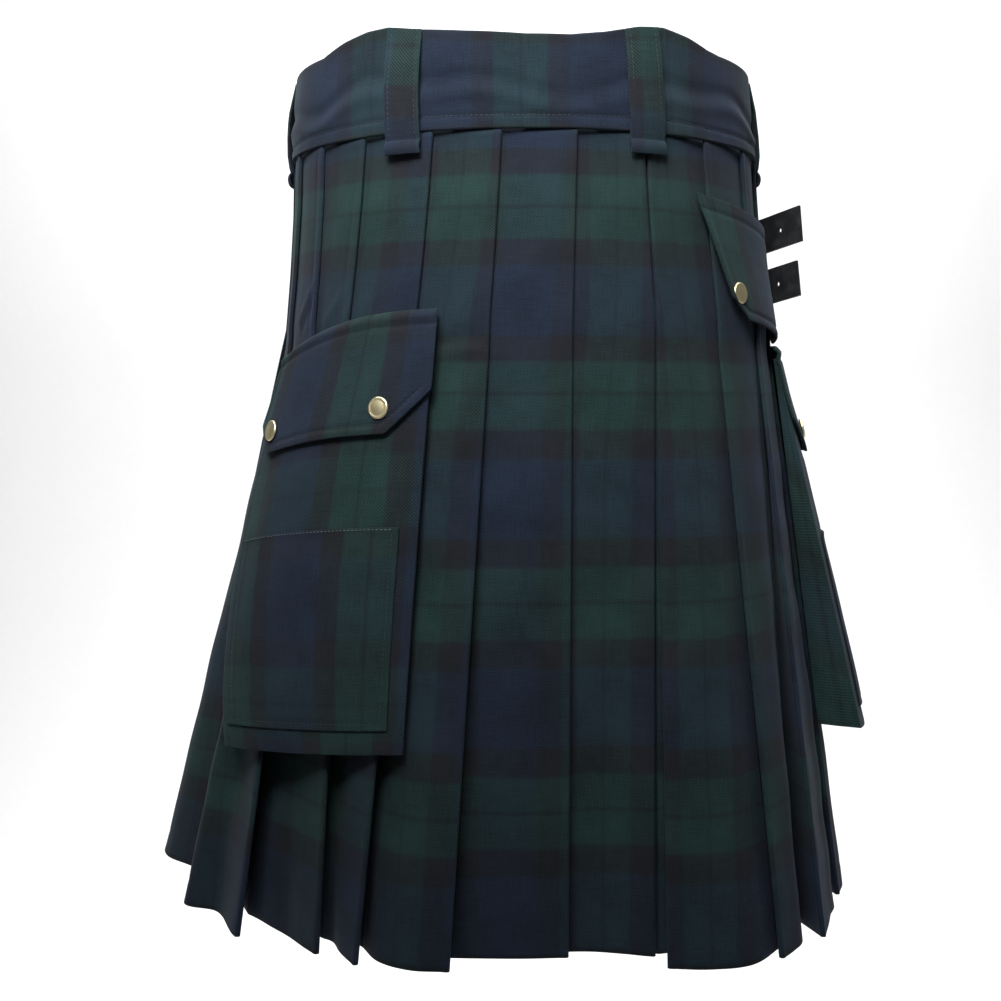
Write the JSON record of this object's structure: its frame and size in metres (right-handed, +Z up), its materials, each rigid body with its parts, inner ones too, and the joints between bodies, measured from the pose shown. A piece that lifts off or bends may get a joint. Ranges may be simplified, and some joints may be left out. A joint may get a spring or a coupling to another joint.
{
  "type": "utility kilt",
  "caption": "Pleated tartan utility kilt with a plain waistband, belt loops, cargo pockets, a hip flap and strap closures, filled out as worn.",
  "frame": {"origin": "middle of the waistband's opening, half way down the waistband, where the waist holds the kilt", "axes": "+Z up, -Y towards the back of the figure, +X towards the wearer's right"},
  "size_m": [0.5611, 0.347, 0.6198],
  "materials": {
    "tartan": "matt twill weave in dark green, navy and black-brown checks",
    "snap_metal": "satin pale brass",
    "strap": "matt black",
    "buckle_metal": "satin antique brass"
  },
  "bodies": {
    "root": {"waistband": "tartan", "over_apron": "tartan", "under_apron": "tartan", "pleat_01": "tartan", "pleat_02": "tartan", "pleat_03": "tartan", "pleat_04": "tartan", "pleat_05": "tartan", "pleat_06": "tartan", "pleat_07": "tartan", "pleat_08": "tartan", "pleat_09": "tartan", "pleat_10": "tartan", "pleat_11": "tartan", "pleat_12": "tartan", "pleat_13": "tartan", "pleat_14": "tartan", "belt_loop_1": "tartan", "belt_loop_2": "tartan", "belt_loop_3": "tartan", "belt_loop_4": "tartan", "belt_loop_5": "tartan", "pocket_left_bag": "tartan", "pocket_left_patch": "tartan", "pocket_left_flap": "tartan", "pocket_right_bag": "tartan", "pocket_right_patch": "tartan", "pocket_right_flap": "tartan", "hip_flap": "tartan", "snap_1": "snap_metal", "snap_2": "snap_metal", "snap_3": "snap_metal", "snap_4": "snap_metal", "snap_5": "snap_metal", "snap_6": "snap_metal", "strap_upper": "strap", "tab_upper": "strap", "buckle_upper": "buckle_metal", "prong_upper": "buckle_metal", "strap_lower": "strap", "tab_lower": "strap", "buckle_lower": "buckle_metal", "prong_lower": "buckle_metal"}
  },
  "joints": []
}
